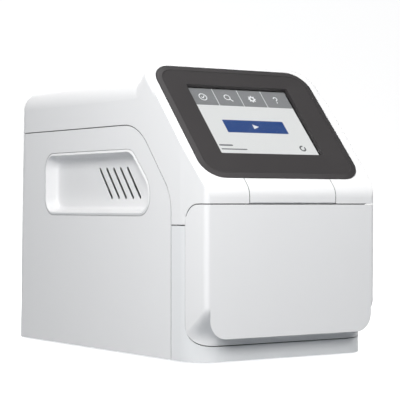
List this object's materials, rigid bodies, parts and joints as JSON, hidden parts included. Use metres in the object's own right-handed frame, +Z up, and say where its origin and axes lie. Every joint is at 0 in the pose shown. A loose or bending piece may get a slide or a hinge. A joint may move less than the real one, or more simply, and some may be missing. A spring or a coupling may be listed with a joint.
{
  "type": "portable chemistry analyzer",
  "caption": "White bench analyzer with a sloped touch screen, dished side grips and a motor driven front drawer that carries a spinning test disc.",
  "frame": {"origin": "middle of the footprint at the underside of the rubber feet", "axes": "+X to the right seen from the front, +Y from the drawer to the rear, +Z up"},
  "size_m": [0.2016, 0.3638, 0.2759],
  "materials": {
    "shell_white": "satin white moulded housing plastic",
    "base_white": "satin white moulded base plastic",
    "bezel_dark": "dark grey screen frame with a polished rim",
    "screen_glass": "clear touch glass over a lit screen",
    "display": "lit display module with a plain user screen",
    "rubber_black": "black rubber",
    "sheet_steel": "zinc plated sheet steel",
    "rail_steel": "ground steel",
    "tray_plastic": "dark grey matt tray plastic",
    "gear_plastic": "natural acetal plastic",
    "motor_metal": "turned motor can",
    "turntable_metal": "turned aluminium",
    "optics_black": "black anodised aluminium",
    "lid_metal": "milled aluminium",
    "board_green": "green circuit board",
    "chip_black": "black moulded components",
    "socket_black": "black moulded socket plastic",
    "contact_brass": "brass contacts",
    "screw_steel": "plated steel screws",
    "rear_paint": "light grey painted sheet",
    "fan_black": "black fan plastic"
  },
  "bodies": {
    "housing": {"top_cover": "shell_white", "side_panel_left": "shell_white", "side_panel_right": "shell_white", "base_tray": "base_white", "rubber_feet": "rubber_black", "chassis_plate": "sheet_steel", "guide_left": "sheet_steel", "guide_right": "sheet_steel", "guide_bracket_left": "sheet_steel", "guide_bracket_right": "sheet_steel", "drive_motor": "motor_metal", "motor_bracket": "sheet_steel", "optics_deck": "lid_metal", "heated_lid": "lid_metal", "lamp_housing": "optics_black", "lens_tube": "optics_black", "detector_block": "optics_black", "screen_bezel": "bezel_dark", "cover_glass": "screen_glass", "lcd_panel": "display", "lcd_bracket": "sheet_steel", "display_board": "board_green", "flap_hinge_pins": "rail_steel", "port_ledge": "socket_black", "port_board": "board_green", "front_usb_sockets": "rail_steel", "card_slot": "socket_black", "board_plate": "sheet_steel", "board_standoffs": "contact_brass", "main_board": "board_green", "board_parts": "chip_black", "power_supply": "sheet_steel", "rear_panel": "rear_paint", "rear_posts": "base_white", "fan_frame": "fan_black", "mains_inlet": "socket_black", "inlet_pins": "contact_brass", "rocker_frame": "socket_black", "rocker_pin": "rail_steel", "network_socket": "socket_black", "rear_usb_socket": "rail_steel", "io_board": "board_green", "rear_screws": "screw_steel", "fan_screws": "screw_steel"},
    "drawer": {"drawer_front": "shell_white", "drawer_tray": "tray_plastic", "drawer_rail_left": "rail_steel", "drawer_rail_right": "rail_steel", "drive_rack": "gear_plastic", "spindle_motor": "motor_metal"},
    "turntable": {"turntable": "turntable_metal"},
    "pinion": {"drive_pinion": "gear_plastic"},
    "flap": {"front_flap": "shell_white"},
    "fan": {"fan_rotor": "fan_black"},
    "rocker": {"power_rocker": "socket_black"}
  },
  "joints": [
    {"name": "drawer_slide", "type": "slide", "parent": "housing", "child": "drawer", "axis": [0, -1, 0], "range_m": [0, 0.135]},
    {"name": "turntable_spin", "type": "hinge", "parent": "drawer", "child": "turntable", "pos_m": [0, -0.098, 0.085], "axis": [0, 0, 1], "continuous": true},
    {"name": "pinion_spin", "type": "hinge", "parent": "housing", "child": "pinion", "pos_m": [0.0725, -0.115, 0.0532], "axis": [1, 0, 0], "range_deg": [-1, 780]},
    {"name": "flap_hinge", "type": "hinge", "parent": "housing", "child": "flap", "pos_m": [0, -0.18025, 0.1452], "axis": [1, 0, 0], "range_deg": [0, 80]},
    {"name": "fan_spin", "type": "hinge", "parent": "housing", "child": "fan", "pos_m": [0.033, 0.158, 0.16], "axis": [0, 1, 0], "continuous": true},
    {"name": "rocker_tilt", "type": "hinge", "parent": "housing", "child": "rocker", "pos_m": [-0.045, 0.1685, 0.104], "axis": [0, 0, 1], "range_deg": [0, 14]}
  ],
  "couplings": [
    {"joint": "pinion_spin", "follows": "drawer_slide", "rad_per_m": 100}
  ]
}
